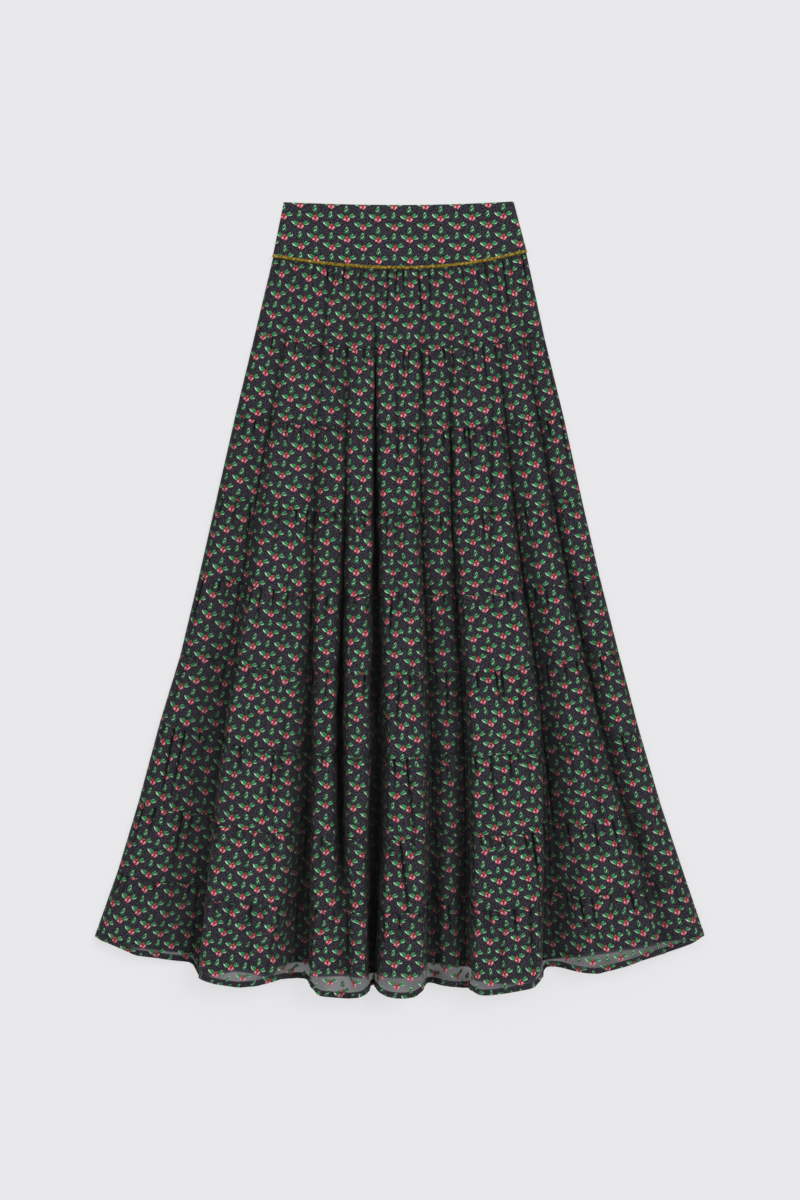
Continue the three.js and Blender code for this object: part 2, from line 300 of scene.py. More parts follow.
# Leaves and petals of a sprig: centre, half length, half width, turn in degrees and colour. Some bend along
# their length or narrow towards their tip, or change colour from a share of their length on. A round one
# has no points.
SPRIG = [
    {"x": -3.6, "y": 1.5, "long": 2.6, "wide": 0.9, "turn": 158, "colour": DEEP_GREEN},
    {"x": 3.8, "y": 1.5, "long": 2.6, "wide": 0.9, "turn": 48, "bend": -0.2, "colour": DEEP_GREEN},
    {"x": -5.0, "y": 2.0, "long": 4.0, "wide": 1.4, "turn": 152, "bend": 0.2,
     "colour": LEAF_GREEN, "tip": LIGHT_GREEN, "from": 0.4},
    {"x": 5.6, "y": 2.3, "long": 4.0, "wide": 1.4, "turn": 38,
     "colour": LEAF_GREEN, "tip": LIGHT_GREEN, "from": 0.35},
    {"x": -7.5, "y": 0.8, "long": 4.9, "wide": 1.7, "turn": 145, "bend": -0.3, "colour": LEAF_GREEN},
    {"x": 7.5, "y": 0.8, "long": 4.5, "wide": 1.5, "turn": 20, "bend": 0.3,
     "colour": LEAF_GREEN, "tip": PALE, "from": 0.7},
    {"x": -8.8, "y": 0.2, "long": 4.9, "wide": 0.65, "turn": 142, "bend": -1.3,
     "colour": LIGHT_GREEN, "tip": PALE, "from": -0.3},
    {"x": 8.2, "y": 0.1, "long": 3.4, "wide": 0.55, "turn": 16, "bend": 0.9,
     "colour": LIGHT_GREEN, "tip": PALE, "from": 0.1},
    {"x": 0.2, "y": -1.8, "long": 3.9, "wide": 3.7, "turn": 80, "round": True, "colour": DEEP_RED},
    {"x": 0.6, "y": 1.3, "long": 2.1, "wide": 1.2, "turn": 78, "colour": ROSE, "tip": DEEP_RED, "from": 0.3},
    {"x": -2.2, "y": -2.7, "long": 2.2, "wide": 1.6, "turn": 40, "round": True,
     "colour": PINK, "tip": ROSE, "from": 0.1},
    {"x": 2.4, "y": -2.1, "long": 2.2, "wide": 1.6, "turn": 120, "round": True,
     "colour": PINK, "tip": ROSE, "from": 0},
    {"x": 0.5, "y": -4.8, "long": 2.1, "wide": 1.2, "turn": 12, "round": True,
     "colour": ROSE, "tip": PINK, "from": 0},
    {"x": -1.5, "y": 0.2, "long": 1.6, "wide": 0.7, "turn": 20, "round": True,
     "colour": ROSE, "tip": PINK, "from": 0.3},
]
BUD_SHAPES = [
    {"x": 0, "y": 0, "long": 4.7, "wide": 2.5, "turn": 84, "taper": 0.6, "round": True,
     "colour": LEAF_GREEN, "tip": LIGHT_GREEN, "from": 0.2},
    {"x": 0.1, "y": -0.7, "long": 3.3, "wide": 1.65, "turn": 84, "taper": 0.5, "round": True,
     "colour": DEEP_GREEN},
    {"x": -0.8, "y": -2.1, "long": 1.2, "wide": 0.6, "turn": 50, "round": True,
     "colour": LIGHT_GREEN, "tip": PALE, "from": -0.2},
    {"x": 0.8, "y": -0.6, "long": 1.3, "wide": 0.5, "turn": 75, "round": True,
     "colour": LIGHT_GREEN, "tip": PALE, "from": 0},
]


def printed(base, cover, position, shapes):
    """The shapes laid over a colour, and the share of the cloth that the print covers, around a centre."""
    for shape in shapes:
        turn = math.radians(shape["turn"])
        ahead = (math.cos(turn) / shape["long"], math.sin(turn) / shape["long"])
        side = (-math.sin(turn) / shape["wide"], math.cos(turn) / shape["wide"])
        along = position.dot(*ahead) - (ahead[0] * shape["x"] + ahead[1] * shape["y"])
        aside = position.dot(*side) - (side[0] * shape["x"] + side[1] * shape["y"])
        square = along * along
        if "bend" in shape:
            aside = aside - square * shape["bend"]
        if "taper" in shape:
            aside = aside * (1 + along * shape["taper"])
        width = aside * aside if "round" in shape else abs(aside)
        within = 1 - square - width
        around = ((within + OUTLINE) * (OUTLINE_SHARE / OUTLINE)).clamped().maths("MINIMUM", OUTLINE_SHARE)
        base = around.mix(base, OUTLINE_COLOUR)
        inside = (within * EDGE).clamped()
        colour = shape["colour"]
        if "tip" in shape:
            colour = ((along - shape["from"]) * TIP_FADE).clamped().mix(colour, shape["tip"])
        base = inside.mix(base, colour)
        cover = inside.maths("MAXIMUM", cover)
    return base, cover


def nearer(across, down, first, second, reach):
    """Position from the nearer of two motifs of the repeat, each leaning a little its own way."""
    found = []
    for x, y in (first, second):
        local_x = (across - x).maths("WRAP", REPEAT_X / 2, -REPEAT_X / 2)
        local_y = (down - y).maths("WRAP", REPEAT_Y / 2, -REPEAT_Y / 2)
        far_x = local_x * (1 / reach[0])
        far_y = local_y * (1 / reach[1])
        found.append((local_x, local_y, far_x * far_x + far_y * far_y))
    (x1, y1, far1), (x2, y2, far2) = found
    second_one = far2.maths("LESS_THAN", far1)
    x = x1 + second_one * (x2 - x1)
    y = y1 + second_one * (y2 - y1)
    number_x = ((across - x) * (2 / REPEAT_X)).maths("ROUND")
    number_y = ((down - y) * (2 / REPEAT_Y)).maths("ROUND")
    number = number_x.pair(number_y)
    draw = x.field("ShaderNodeTexWhiteNoise", {"Vector": number}, {"noise_dimensions": "2D"}, "Value")
    lean = (draw - 0.5) * LEAN
    return (x + y * lean).pair(y - x * lean)


HEM_DEPTH = 7.5 * MM
OPEN_GROUND = 0.45  # alpha of each face of one layer of voile
OPEN_PRINT = 0.85
BACKED = 0.62  # the share of its clearness that the voile loses over the edge of the back's hem
SHEER_FADE = 14 * MM  # how far past that edge the back still shows
# painted shade: the cloth's base colour darkens towards the next colour where the folds hide the sky
FOLD_SHADE_STRENGTH = 1.5  # how strongly the cloth darkens with the sky that a fold hides
FOLD_SHADE_COLOUR = srgb(15, 15, 17)
HEM_LINE = srgb(14, 13, 16)


def printed_cloth(name, hemmed):
    """Printed voile. The lowest strip's lets light through its single layer, and darkens in the hem."""
    material, root = new_material(name)
    print_map = root.field("ShaderNodeUVMap", settings={"uv_map": "print"})
    across, down = print_map.parts()

    across_mm = across * 1000 + (print_map.noise(1400, 1.0) - 0.5) * 0.9
    down_mm = down * 1000 + (print_map.noise(1100, 1.0) - 0.5) * 0.9
    weave = ((print_map.noise(560, 1.5) - 0.5) * 3.6 + 0.4).clamped()
    ground = weave.mix(GROUND_DARK, GROUND_LIGHT)
    cover = across * 0.0
    bud_at = nearer(across_mm, down_mm, BUD, SECOND_BUD, BUD_REACH)
    colour, cover = printed(ground, cover, bud_at, BUD_SHAPES)
    sprig_at = nearer(across_mm, down_mm, (0, 0), SECOND_SPRIG, SPRIG_REACH)
    colour, cover = printed(colour, cover, sprig_at, SPRIG)
    worn = (print_map.noise(900, 2.0) * 2.2 - 0.95).clamped() * 0.4
    colour = worn.mix(colour, ground)

    crinkle = across.pair(down * 0.22).noise(780, 2.0)
    threads = (across * (math.tau * 2200)).maths("SINE") * (down * (math.tau * 2200)).maths("SINE")
    relief = crinkle * 0.8 + threads * 0.08 + print_map.noise(90, 2.0) * 0.9
    inputs = {
        "Roughness": 0.78 + crinkle * 0.16,
        "Normal": root.field("ShaderNodeBump", {"Height": relief, "Strength": 0.6, "Distance": 0.0005}),
        "Sheen Weight": 0.05,
        "Sheen Roughness": 0.45,
        "Specular IOR Level": 0.25,
    }
    if hemmed:
        over_back, above_edge = root.field("ShaderNodeUVMap", settings={"uv_map": "hems"}).parts()
        band = ((HEM_DEPTH + 0.5 * MM - above_edge) * (1 / MM)).clamped()
        fold_line = (1 - abs(above_edge - HEM_DEPTH) * (1 / MM)).clamped()
        colour = (band * 0.3 + fold_line * 0.45).clamped().mix(colour, HEM_LINE)
        is_backed = (over_back * (0.5 / MM) + 0.5).clamped()
        patchy = (print_map.noise(16, 1.0) * 1.6 - 0.2).clamped() * 0.5 + 0.5
        clear = (1 - over_back * (1 / SHEER_FADE)).clamped() * (1 - is_backed * BACKED) * (1 - band) * patchy
        inputs["Alpha"] = 1 - clear * (1 - OPEN_GROUND - cover * (OPEN_PRINT - OPEN_GROUND))
    # painted shade: the base colour darkens with the share of the sky that the folds hide around each point
    seen, _ = root.field("ShaderNodeUVMap", settings={"uv_map": "folds"}).parts()
    inputs["Base Color"] = seen.maths("POWER", FOLD_SHADE_STRENGTH).mix(FOLD_SHADE_COLOUR, colour)
    finish_material(root, inputs)
    return material


cloth_material = printed_cloth("printed_voile", hemmed=False)
hem_material = printed_cloth("hemmed_voile", hemmed=True)


def flat_panel(first, last, seams, rows, columns, top_shift, bottom_shift):
    """A panel that lies flat between two levels, as a grid at z = 0."""
    grid = np.zeros((rows + 1, columns + 1, 3))
    for row in range(rows + 1):
        down = row / rows
        level = first + (last - first) * down
        left = at_level(seams, "left_x", level)
        x = left + (at_level(seams, "right_x", level) - left) * np.linspace(0, 1, columns + 1)
        grid[row, :, 0] = x
        shift = top_shift * (1 - down) + bottom_shift * down
        grid[row, :, 1] = height_up(seams, x, FRONT_REST, level) + shift
    return grid


def openness(grid):
    """How much of the sky each point sees across its row, past the folds to its left and right."""
    seen = np.ones(grid.shape[:2])
    for row, line in enumerate(grid):
        run = line[None, :, 0] - line[:, None, 0]
        slope = (line[None, :, 2] - line[:, None, 2]) / np.maximum(np.abs(run), 0.2 * MM)
        for towards in (run < 0, run > 0):
            horizon = np.where(towards, slope, 0).max(axis=1).clip(0)
            seen[row] -= 0.5 * horizon / np.hypot(1, horizon)
    padded = np.pad(seen, ((0, 0), (1, 1)), mode="edge")
    return (padded[:, :-2] + 2 * padded[:, 1:-1] + padded[:, 2:]) / 4


def rolled(distance):
    """How far an edge has turned down, from 1 at the edge to 0 where the cloth is flat."""
    return np.clip(1 - distance / EDGE_ROLL, 0, 1) ** 2


def print_of(grid, flat_width, offset):
    """Where each point lies on the printed cloth. A gathered strip had its flat width before it was sewn."""
    along = along_rows(grid)
    across = (along / along[:, -1:] - 0.5) * (flat_width or along[:, -1:])
    down = -down_columns(grid)
    return np.stack([across + offset[0] * MM, down + offset[1] * MM], axis=2)


for side, rest, offset in (("front", FRONT_REST, (-13.5, 17.0)), ("back", BACK_REST, (9.0, 13.0))):
    base = flat_panel(0, 1, SEAMS, YOKE_ROWS, YOKE_COLUMNS, 0, YOKE_TUCK)
    along = along_rows(base)
    from_side = np.minimum(along, along[:, -1:] - along)
    from_waist = down_columns(base)
    from_piping = from_waist[-1] - from_waist
    near_piping = np.clip(1 - from_piping / PUCKER_REACH, 0, 1)
    puckers = near_piping * soft_noise(along, from_piping * 0.3, 9 * MM, 11)
    waves = soft_noise(along, from_waist, 90 * MM, 5) * YOKE_WAVES + puckers * PUCKER_HEIGHT
    roll = np.maximum(rolled(from_side), rolled(from_waist))
    upper, lower = base.copy(), base.copy()
    if side == "front":
        upper[:, :, 2] = rest + waves - YOKE_FALL * roll
        lower[:, :, 2] = upper[:, :, 2] - CLOTH
    else:
        lower[:, :, 2] = np.clip(waves, 0, None) + 0.1 * MM * roll
        upper[:, :, 2] = lower[:, :, 2] + CLOTH
    maps = {"print": print_of(base, None, offset), "folds": np.ones((*along.shape, 2))}
    piece = cloth_piece(f"yoke_{side}", upper, lower, maps, cloth_material)


# The piping
# A twisted olive-gold cord of three strands, caught in the seam under the yoke. On the front it stands
# proud as a round cord. On the back the skirt's weight presses it flat.
STRANDS = 3
CORD_SIZES = {"Step": 0.9 * MM, "Pitch": 9.5 * MM, "Strand radius": 1.22 * MM, "Twist radius": 1.13 * MM}
CORD_RINGS = 420


def cord_material():
    material, root = new_material("olive_gold_cord")
    place = root.field("ShaderNodeTexCoord", output="Object")
    yarn = place.noise(1400, 2.0)
    fleck = place.noise(330, 1.0)
    colour = (yarn * 1.2 + fleck * 1.4 - 0.85).clamped().mix(srgb(52, 38, 4), srgb(188, 158, 36))
    finish_material(root, {
        "Base Color": ((fleck - 0.62) * 5).clamped().mix(colour, srgb(206, 188, 104)),
        "Roughness": 0.7 - fleck * 0.2,
        "Metallic": 0.15,
        "Normal": root.field("ShaderNodeBump", {"Height": yarn, "Strength": 0.7, "Distance": 0.0003}),
        "Specular IOR Level": 0.35,
    })
    return material


def path_tree(name, sizes):
    """A geometry tree that takes a path and named sizes, and a field for each of these inputs."""
    tree = bpy.data.node_groups.new(name, "GeometryNodeTree")
    tree.interface.new_socket("Result", in_out="OUTPUT", socket_type="NodeSocketGeometry")
    tree.interface.new_socket("Path", in_out="INPUT", socket_type="NodeSocketGeometry")
    for size in sizes:
        tree.interface.new_socket(size, in_out="INPUT", socket_type="NodeSocketFloat")
    root = Field(tree)
    given = root.node("NodeGroupInput")
    fields = {socket.name: Field(tree, socket) for socket in given.outputs if socket.name}
    curve = root.field("GeometryNodeMeshToCurve", {"Mesh": fields["Path"]})
    even_steps = {"Curve": curve, "Length": fields["Step"]}
    fields["Path"] = root.field("GeometryNodeResampleCurve", even_steps, {"mode": "LENGTH"})
    return root, fields


def finish_tree(root, shape, material):
    real = root.field("GeometryNodeRealizeInstances", {"Geometry": shape})
    done = root.field("GeometryNodeSetMaterial", {"Geometry": real, "Material": material})
    root.node("NodeGroupOutput", {"Result": done})
    return root.tree


def made_along(name, path, tree, sizes):
    """The plain mesh that a geometry tree makes along a path of points."""
    mesh = bpy.data.meshes.new(name)
    mesh.from_pydata(path.tolist(), [(i, i + 1) for i in range(len(path) - 1)], [])
    piece = bpy.data.objects.new(name, mesh)
    bpy.context.scene.collection.objects.link(piece)
    modifier = piece.modifiers.new(name, "NODES")
    modifier.node_group = tree
    for item in tree.interface.items_tree:
        if item.name in sizes:
            modifier[item.identifier] = sizes[item.name]
    bpy.context.view_layer.update()
    graph = bpy.context.evaluated_depsgraph_get()
    shape = bpy.data.meshes.new_from_object(piece.evaluated_get(graph))
    piece.modifiers.clear()
    piece.data = shape
    return piece


def cord_tree(material):
    """Strands wound round a path, then pressed to a share of their height above the cord's middle."""
    root, given = path_tree("twisted_cord", [*CORD_SIZES, "Middle", "Height"])
    run = root.field("GeometryNodeSplineParameter", output="Length")
    upwards = root.field("ShaderNodeCombineXYZ", {"Z": 1.0})
    crossed = {"Vector": upwards, "Vector_001": root.field("GeometryNodeInputTangent")}
    sideways = root.field("ShaderNodeVectorMath", crossed, {"operation": "CROSS_PRODUCT"})
    ring = {"Resolution": 10, "Radius": given["Strand radius"]}
    profile = root.field("GeometryNodeCurvePrimitiveCircle", ring)
    joined = root.node("GeometryNodeJoinGeometry")
    for strand in range(STRANDS):
        turn = run.maths("DIVIDE", given["Pitch"]) * math.tau + strand * math.tau / STRANDS
        above = root.field("ShaderNodeCombineXYZ", {"Z": turn.maths("SINE") * given["Twist radius"]})
        out = {"Vector": sideways, "Scale": turn.maths("COSINE") * given["Twist radius"]}
        beside = root.field("ShaderNodeVectorMath", out, {"operation": "SCALE"})
        both = {"Vector": beside, "Vector_001": above}
        offset = root.field("ShaderNodeVectorMath", both, {"operation": "ADD"})
        wound = root.field("GeometryNodeSetPosition", {"Geometry": given["Path"], "Offset": offset})
        swept = {"Curve": wound, "Profile Curve": profile, "Fill Caps": True}
        root.tree.links.new(root.field("GeometryNodeCurveToMesh", swept).socket, joined.inputs[0])
    place = root.field("GeometryNodeInputPosition")
    level = root.field("ShaderNodeSeparateXYZ", {"Vector": place}, output="Z")
    fall = (level - given["Middle"]) * (given["Height"] - 1)
    cord = {"Geometry": Field(root.tree, joined.outputs[0]),
            "Offset": root.field("ShaderNodeCombineXYZ", {"Z": fall})}
    return finish_tree(root, root.field("GeometryNodeSetPosition", cord), material)


twisted_cord = cord_tree(cord_material())
# The height of each cord's middle above the surface, and the share of its own height that is left
for side, centre_z, flattened in (("front", 4.05 * MM, 1.0), ("back", 0.75 * MM, 0.33)):
    seam_line = flat_panel(1, 1.001, SEAMS, 1, CORD_RINGS, 0, 0)[0] + TO_ORIGIN
    seam_line[:, 2] = centre_z
    sizes = {**CORD_SIZES, "Middle": centre_z, "Height": flattened}
    piece = made_along(f"piping_{side}", seam_line, twisted_cord, sizes)
    piece.data.shade_smooth()
    piece.data.set_sharp_from_angle(angle=math.radians(75))
    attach(piece, "root")
    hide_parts(f"piping_{side}")


# The back tiers
# Nine gathered strips of the printed voile, each sewn to the one above, lying flat on the surface under
# the front. Their gathers are pressed low. The last one has its lower edge turned up twice and stitched.
SEAM_GAP = 0.1 * MM
HEM_EXTRA = 0.7 * MM  # what the two turnings add to the cloth
BACK_COLUMNS = 180
BACK_ROWS = 12
BACK_SPACING = 12 * MM
BACK_CREASE = 2.6 * MM  # half the width of a gather
BACK_REACHES = (14 * MM, 34 * MM)
BACK_DEPTH = 0.5 * MM
BACK_LIFT = 0.35 * MM
BACK_WAVES = 0.25 * MM
BACK_PRINT_STEP = (7.3, 11.9)  # how far each strip's print is moved from the one's above, in millimetres
FULLNESS = 1.1  # the cloth that the finest puckers take up, across a strip

# The two hems' edges as they lie, in millimetres across and up, from left to right
BACK_EDGE = [
    (-401, -436), (-348, -450), (-318, -454), (-275, -459), (-262, -486), (-240, -482), (-218, -477),
    (-195, -480), (-170, -486), (-163, -472), (-143, -470), (-122, -471), (-116, -484), (-89, -484),
    (-50, -486), (-40, -484), (0, -486), (20, -484), (28, -470), (59, -474), (88, -476), (94, -490),
    (130, -494), (168, -492), (178, -468), (203, -465), (228, -461), (260, -456), (294, -451),
    (340, -443), (370, -440), (391, -434),
]
FRONT_EDGE = [
    (-401, -436), (-395, -442), (-379, -448), (-363, -455), (-348, -462), (-324, -465), (-301, -468),
    (-275, -471), (-270, -478), (-267, -488), (-262, -494), (-246, -499), (-215, -504), (-192, -502),
    (-176, -498), (-163, -493), (-137, -491), (-123, -492), (-119, -502), (-115, -511), (-109, -515),
    (-90, -517), (-67, -518), (-53, -516), (-46, -508), (-42, -499), (-36, -499), (-32, -507),
    (-27, -514), (-12, -518), (3, -518), (18, -515), (24, -507), (28, -497), (42, -498),
    (58, -502), (73, -504), (89, -504), (93, -511), (98, -514), (112, -514), (136, -511),
    (151, -508), (167, -505), (175, -500), (179, -490), (181, -478), (190, -476), (206, -477),
    (222, -482), (237, -485), (253, -486), (268, -482), (292, -475), (315, -467), (339, -459),
    (362, -451), (378, -445), (385, -439), (391, -436),
]
EDGE_ROUNDING = 5 * MM
CAMERA_HEIGHT = 3.0


def to_edge(grid, edge, shares):
    """Moves a strip's points so that its lower edge follows a hem's, more the nearer they are to it."""
    nearness = 1 - grid[-1, :, 2] / CAMERA_HEIGHT  # what stands up looks farther from the middle
    at = grid[-1, :, 0] / nearness
    shifts = np.linspace(-EDGE_ROUNDING, EDGE_ROUNDING, 9)
    wanted = np.mean([np.interp(at + shift, *(np.array(edge).T * MM)) for shift in shifts], axis=0) * nearness
    grid[:, :, 1] += (wanted - grid[-1, :, 1]) * shares[:, None] ** 2


def gathers(along, down, spacing, width, reaches, seed):
    """Creases that run from a seam: narrow, uneven in depth, length and spacing, from 0 to -1."""
    draw = np.random.default_rng(seed)
    length = along[0, -1]
    share = along / along[:, -1:]
    kept = np.ones(along.shape)
    at = draw.uniform(0.3, 0.8) * spacing
    while at < length:
        depth = 0.2 + 0.8 * draw.random() ** 1.4
        is_long = draw.random() < 0.3
        reach = draw.uniform(*reaches) * (2.4 if is_long else 1)
        lean = draw.normal(0, 0.03)
        away = np.abs((share - at / length) * along[:, -1:] - lean * down)
        spread = width * draw.uniform(0.7, 1.4) * (1 + down / (120 * MM))
        kept *= 1 - depth * np.exp(-away / spread) * np.exp(-((down / reach) ** 3))
        at += spacing * draw.uniform(0.4, 1.8)
    return (kept - 1) * np.clip(down / (2 * MM), 0, 1)


STITCH_SIZES = {"Step": 3.4 * MM, "Stitch length": 2.5 * MM, "Thread width": 0.5 * MM}
STITCH_LINE = 6.3 * MM  # above the hem's edge
STITCH_RISE = 0.1 * MM  # the threads' middle line over the cloth's face


def stitch_tree(material):
    """A line of stitches: short threads that lie along a path, even steps apart."""
    root, given = path_tree("hem_stitches", STITCH_SIZES)
    width = given["Thread width"]
    placed = root.field("GeometryNodeInstanceOnPoints", {
        "Points": given["Path"],
        "Instance": root.field("GeometryNodeMeshUVSphere", {"Segments": 6, "Rings": 4, "Radius": 0.5}),
        "Rotation": root.field("FunctionNodeAlignRotationToVector",
                               {"Vector": root.field("GeometryNodeInputTangent")}, {"axis": "X"}),
        "Scale": root.field("ShaderNodeCombineXYZ", {"X": given["Stitch length"], "Y": width, "Z": width}),
    })
    return finish_tree(root, placed, material)


def thread_material():
    material, root = new_material("hem_thread")
    fibre = root.field("ShaderNodeTexCoord", output="Object").noise(2600, 2.0)
    finish_material(root, {
        "Base Color": fibre.mix(srgb(20, 19, 24), srgb(88, 84, 96)),
        "Roughness": 0.5 + fibre * 0.2,
        "Normal": root.field("ShaderNodeBump", {"Height": fibre, "Strength": 0.5, "Distance": 0.0001}),
    })
    return material


hem_stitches = stitch_tree(thread_material())


def stitched(side, face, up):
    """The stitches on a strip's face, at their height above its lower edge."""
    path = np.array([
        [np.interp(STITCH_LINE, up[::-1, column], face[::-1, column, part]) for part in range(3)]
        for column in range(up.shape[1])
    ])
    path += TO_ORIGIN + [0, 0, STITCH_RISE]
    threads = made_along(f"hem_stitches_{side}", path, hem_stitches, STITCH_SIZES)
    threads.data.shade_smooth()
    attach(threads, "root")
    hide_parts(f"tier_{LAST - 1}_{side}")
    return threads


for tier in range(1, LAST):
    is_last = tier == LAST - 1
    top = -TIER_TUCK if tier == 1 else -SEAM_GAP / 2
    foot = 0 if is_last else SEAM_GAP / 2
    base = flat_panel(tier, tier + 1, BACK_SEAMS, BACK_ROWS, BACK_COLUMNS, top, foot)
    if is_last:
        to_edge(base, BACK_EDGE, np.linspace(0, 1, BACK_ROWS + 1))
    along = along_rows(base)
    down = down_columns(base)
    up = down[-1] - down
    from_side = np.minimum(along, along[:, -1:] - along)
    calm = np.clip(from_side / (10 * MM), 0, 1)
    creases = gathers(along, down, BACK_SPACING, BACK_CREASE, BACK_REACHES, 300 + tier)
    relief = BACK_LIFT + creases * BACK_DEPTH
    relief += soft_noise(along, down * 0.4, 55 * MM, 340 + tier) * BACK_WAVES
    upper, lower = base.copy(), base.copy()
    lower[:, :, 2] = np.clip(relief * calm, 0, 0.7 * MM)
    upper[:, :, 2] = lower[:, :, 2] + CLOTH
    if is_last:
        upper[:, :, 2] += HEM_EXTRA * np.clip((HEM_DEPTH - up) / (1 * MM) + 0.5, 0, 1)
    flat_width = along[-1, -1] * FULLNESS
    offset = [step * tier for step in BACK_PRINT_STEP]
    maps = {"print": print_of(base, flat_width, offset), "folds": np.ones((*up.shape, 2))}
    if is_last:
        maps["hems"] = np.stack([np.full(up.shape, SHEER_FADE), up], axis=2)
    material = hem_material if is_last else cloth_material
    piece = cloth_piece(f"tier_{tier}_back", upper, lower, maps, material)
    threads = [stitched("back", upper, up)] if is_last else []


# The front tiers
# Nine gathered strips like the back's, thrown into the folds that run from the yoke to the hem. They lie
# on the back, stand up in the folds between its valleys, and are sheer where only one layer shows.
# Each valley has four values, at the yoke seam, at the seams of tiers 3 and 6, and at the hem: x of its
# line, half its foot's width, the widths of the walls beside it, its share of the folds' depth, and how
# sharply the cloth is creased along its line.
VALLEYS = [
    {"name": "left side", "x": [-144, -192, -245, -273], "foot": [1, 4, 13, 10],
     "left_wall": [10, 24, 28, 46], "right_wall": [8, 12, 7, 6], "depth": [0, 0.4, 1, 1],
     "crease": [0, 0.5, 0.1, 0.3]},
    {"name": "left recess", "x": [-100.5, -116.5, -123, -131], "foot": [1, 2, 5, 10],
     "left_wall": [6, 9, 20, 32], "right_wall": [6, 9, 7, 5], "depth": [0, 0.3, 0.85, 1],
     "crease": [0, 0.3, 0.3, 0]},
    {"name": "short crease", "x": [-73, -76, -83, -74], "foot": [1, 2, 5, 2],
     "left_wall": [5, 6, 6, 10], "right_wall": [5, 7, 8, 10], "depth": [0, 0.4, 0.95, -0.3],
     "crease": [0, 0.35, 1, -0.4]},
    {"name": "left of centre", "x": [-36.5, -36.5, -36, -41], "foot": [1, 4, 8, 5],
     "left_wall": [5, 4, 6, 6], "right_wall": [5, 6, 12, 9], "depth": [0.1, 1, 1, 1],
     "crease": [0, 1, 1, 1]},
    {"name": "right of centre", "x": [22, 23, 36, 35], "foot": [1, 2, 4, 6],
     "left_wall": [5, 7, 9, 8], "right_wall": [5, 9, 14, 14], "depth": [0, 0.22, 0.7, 0.9],
     "crease": [0, 0.35, 0.3, 0.2]},
    {"name": "right recess", "x": [59, 63, 79, 81], "foot": [1, 2, 5, 6],
     "left_wall": [6, 9, 12, 14], "right_wall": [5, 7, 8, 7], "depth": [0, 0.4, 0.9, 0.95],
     "crease": [0, 0.5, 0.4, 0.3]},
    {"name": "right side", "x": [116, 144, 182, 190], "foot": [1, 2, 5, 11],
     "left_wall": [6, 8, 6, 6], "right_wall": [8, 22, 36, 40], "depth": [0, 0.6, 0.95, 1],
     "crease": [0, 0.6, 0.3, 0.2]},
    {"name": "right edge", "x": [147, 195, 260, 340], "foot": [1, 1.5, 3, 2],
     "left_wall": [10, 12, 12, 18], "right_wall": [5, 9, 14, 14], "depth": [0, 0.7, 0.85, 0.2],
     "crease": [0, 0.6, 0.5, 0.2]},
]
# The height of the folds between the valleys at the same four levels
FOLDS = [
    {"name": "left panel", "height": [3.6, 8, 10, 11]},
    {"name": "broad left", "height": [3.8, 14, 23, 30]},
    {"name": "inner left", "height": [3.8, 13, 21, 28]},
    {"name": "narrow centre", "height": [3.8, 16, 24, 30]},
    {"name": "centre", "height": [3.8, 17, 24, 31]},
    {"name": "sunken", "height": [3.8, 11, 12, 14]},
    {"name": "inner right", "height": [3.8, 14, 23, 29]},
    {"name": "broad right", "height": [3.8, 12, 17, 19]},
    {"name": "right panel", "height": [3.6, 7, 9, 10]},
]
CROWN = 0.14
WIDEST_WALL = 0.45
SIDE_SHOULDER = 16 * MM
LEVELS_PER_STATION = 3
FOLD_SAMPLES = 160
FRONT_ROWS = 28
NEAR_SEAMS = 0.75  # how much closer together the rows lie at a strip's edges than in its middle
TUCK = 1 * MM  # how far a strip's upper edge goes in under the strip above
SIDE_CALM = 8 * MM  # the relief fades out this far from the side seams
# The rows of gathers of a strip: whether they run from its upper seam or its lower one, how far apart they
# are as a share of the strip's own spacing, their half width in columns, their least and greatest reach and
# their depth in millimetres, how much deeper they are with each tier down, and the start of their draws
FRONT_GATHERS = [
    {"top": True, "apart": 1, "wide": 1.05, "reaches": (12, 40), "deep": 5.6, "deeper": 0.25, "draw": 100},
    {"top": True, "apart": 0.4, "wide": 1, "reaches": (4, 16), "deep": 2.0, "deeper": 0, "draw": 500},
    {"top": False, "apart": 0.6, "wide": 1.1, "reaches": (3, 12), "deep": 1.8, "deeper": 0, "draw": 700},
]
SEAM_GROOVE = {"deep": 1.1 * MM, "wide": 1.8 * MM}  # under each seam
LOWER_GROOVE = {"deep": 0.4 * MM, "wide": 1.4 * MM}  # and over it
HEM_GROOVE = {"deep": 0.4 * MM, "wide": 1 * MM}  # along the hem's upper fold
PUFF = 2.4 * MM  # how far the gathered cloth stands off the fold's own form between its creases
VALLEY_CREASE = 7 * MM  # where a valley is shallow, its line is still a sharp crease

PRINT_STEP = (5.7, 9.1)
HEM_LIGHT = 0.6  # the share of a fold's darkness that the light at its open end takes away
HEM_LIGHT_REACH = 22 * MM
